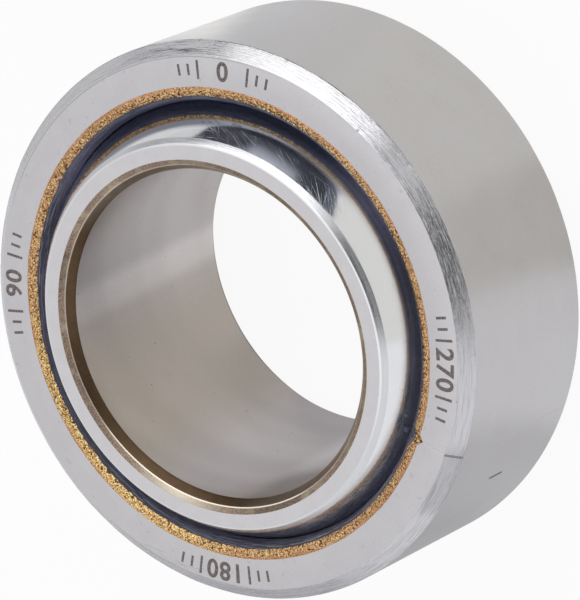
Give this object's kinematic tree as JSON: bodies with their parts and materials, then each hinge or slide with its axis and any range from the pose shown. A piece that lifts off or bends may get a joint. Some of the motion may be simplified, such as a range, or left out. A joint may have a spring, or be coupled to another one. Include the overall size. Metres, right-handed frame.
{
  "type": "spherical plain bearing",
  "caption": "Radial spherical plain bearing: chromed inner ring with a ball face that swivels in a rolled steel outer ring lined with sintered bronze and PTFE.",
  "frame": {"origin": "centre of the ball, on the axis of the bore", "axes": "+Z along the bore; the outer ring lies tilted about Y, its own axis leaning towards +X"},
  "size_m": [0.0426, 0.042, 0.02],
  "materials": {
    "chromed_steel": "polished ball face, ground ends and bore",
    "rolled_steel": "satin, turned chamfers",
    "sintered_bronze": "grainy, cut on the face",
    "ptfe": "dull dark skin, a little creased"
  },
  "bodies": {
    "inner": {"inner_ring": "chromed_steel"},
    "outer": {"outer_ring": "rolled_steel", "bronze_layer": "sintered_bronze", "sliding_layer": "ptfe"}
  },
  "joints": [
    {"name": "tilt", "type": "hinge", "parent": "inner", "child": "outer", "pos_m": [0, 0, 0], "axis": [0, 1, 0], "range_deg": [-9.7, 4.3]}
  ]
}
